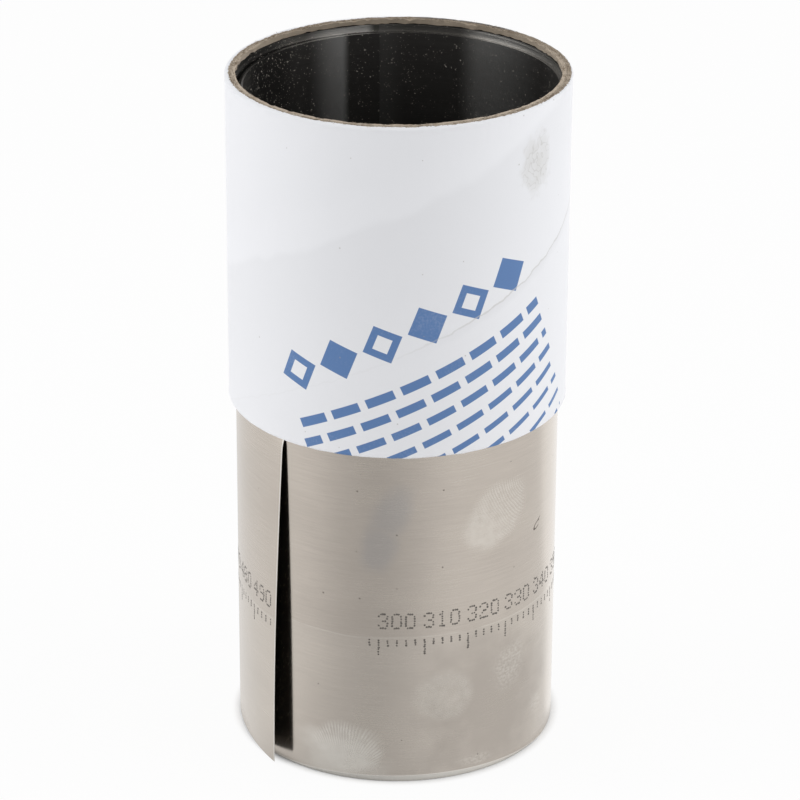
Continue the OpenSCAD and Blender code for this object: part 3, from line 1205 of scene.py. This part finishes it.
def matt_paint(name, colour):
    """A matt surface with a faint grain."""
    paint = Paint(name, 1.0)
    grain = paint.noise(paint.x / 8, paint.y / 8)
    colour = paint.mix(grain, scaled(colour, 0.995), scaled(colour, 1.005))
    return paint.set(Base_Color=colour, Roughness=1.0, Specular_IOR_Level=0.0)


def floor_material():
    """White floor that stays white where it is looked at, and keeps the roll's shadow."""
    paint = matt_paint("floor_white", FLOOR_WHITE)
    white = paint.tree.nodes.new("ShaderNodeEmission")
    white.inputs["Color"].default_value = WHITE
    glossy = Field(paint.tree, paint.tree.nodes.new("ShaderNodeLightPath").outputs["Is Glossy Ray"])
    slope = (paint.x - ROLL_R) / (paint.y + WEDGE_TIP)
    past_edge = rise(slope - rise(paint.y, *WEDGE_WIDENS) * 0.7, *WEDGE_SLOPES)
    behind_right = past_edge * rise(paint.x, ROLL_R - 4, ROLL_R) * rise(paint.y, -8.0, 0.0)
    plug(paint.tree, white.inputs["Strength"], glossy * behind_right * RIGHT_LIFT + 1.0)
    outside = rise(paint.radius, BORE_R + 0.5, SLEEVE_R + 0.5)
    return blend(paint, outside * seen_directly(paint.tree) * FLOOR_GLOW, white)


def card_material():
    """Grey card in front of the roll, fading out to its sides."""
    paint = matt_paint("card_grey", CARD_GREY)
    clear = paint.tree.nodes.new("ShaderNodeBsdfTransparent")
    density = rise(size_of(paint.angle - CARD_SIDE), CARD_SPREAD, 0.0) * CARD_DENSITY
    return blend(paint, 1.0 - density, clear)


def flat_card(name, half_x, front, back, height, material):
    """A level rectangle, in millimetres."""
    corners = ((-half_x, front), (half_x, front), (half_x, back), (-half_x, back))
    points = [(x, y, height) for x, y in corners]
    card = add_mesh(name, points, [(0, 1, 2, 3)], [material], [0])
    return card


def build_stage():
    """White floor, and a grey card that only the steel reflects."""
    half = FLOOR_SIZE / 2
    flat_card("floor", half, -half, half, 0.0, floor_material())
    card = flat_card("front_card", CARD_SIZE, -2 * CARD_SIZE, 0, CARD_HEIGHT, card_material())
    card.visible_camera = card.visible_diffuse = card.visible_shadow = False


def background(tree):
    """A white background shader, at strength 1."""
    node = tree.nodes.new("ShaderNodeBackground")
    node.inputs["Color"].default_value = WHITE
    return node


def build_world():
    """A world that is white where it is seen, and lights most from the horizon behind."""
    world = bpy.data.worlds.new("studio")
    bpy.context.scene.world = world
    world.use_nodes = True
    tree = world.node_tree
    tree.nodes.clear()
    place = tree.nodes.new("ShaderNodeTexCoord")
    split = tree.nodes.new("ShaderNodeSeparateXYZ")
    tree.links.new(place.outputs["Generated"], split.inputs[0])
    forward, up = (Field(tree, split.outputs[axis]) for axis in (1, 2))
    seen, light = background(tree), background(tree)
    level = HORIZON_LEVEL - rise(up, 0.0, 1.0) * (HORIZON_LEVEL - ZENITH_LEVEL)
    plug(tree, light.inputs["Strength"], level - rise(forward, 0.0, -1.0) * FRONT_FALL)
    mixer = tree.nodes.new("ShaderNodeMixShader")
    output = tree.nodes.new("ShaderNodeOutputWorld")
    plug(tree, mixer.inputs[0], seen_directly(tree))
    tree.links.new(light.outputs[0], mixer.inputs[1])
    tree.links.new(seen.outputs[0], mixer.inputs[2])
    tree.links.new(mixer.outputs[0], output.inputs[0])


def build_lamps():
    """A soft box at each side."""
    for side in (-1, 1):
        lamp = bpy.data.lights.new("soft_box", "AREA")
        lamp.shape = "RECTANGLE"
        lamp.size, lamp.size_y = LAMP_SIZE
        lamp.energy = LAMP_POWER
        box = bpy.data.objects.new("soft_box", lamp)
        box.location = (side * LAMP_AT[0], *LAMP_AT[1:])
        box.rotation_euler = (LAMP_TILT, 0, side * LAMP_TURN)
        bpy.context.collection.objects.link(box)


def build_camera():
    """The photograph's camera, from the perspective fit."""
    lens = bpy.data.cameras.new("camera")
    lens.sensor_width = SENSOR
    lens.lens = FOCAL
    lens.shift_x, lens.shift_y = SHIFT_X, SHIFT_Y
    camera = bpy.data.objects.new("camera", lens)
    tilt = Matrix.Rotation(math.radians(90 - CAMERA_PITCH), 4, "X")
    roll = Matrix.Rotation(math.radians(CAMERA_ROLL), 4, "Z")
    camera.matrix_world = Matrix.Translation([c * MM for c in CAMERA_AT]) @ tilt @ roll
    bpy.context.collection.objects.link(camera)
    bpy.context.scene.camera = camera
    bpy.context.scene.view_settings.view_transform = "Standard"


strip = strip_mesh()
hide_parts("shim_coil")
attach(strip, "roll")

marks = marks_mesh()
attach(marks, "roll")

sleeve = sleeve_mesh()
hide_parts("sleeve")
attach(sleeve, "sleeve")

build_stage()
build_world()
build_lamps()
build_camera()
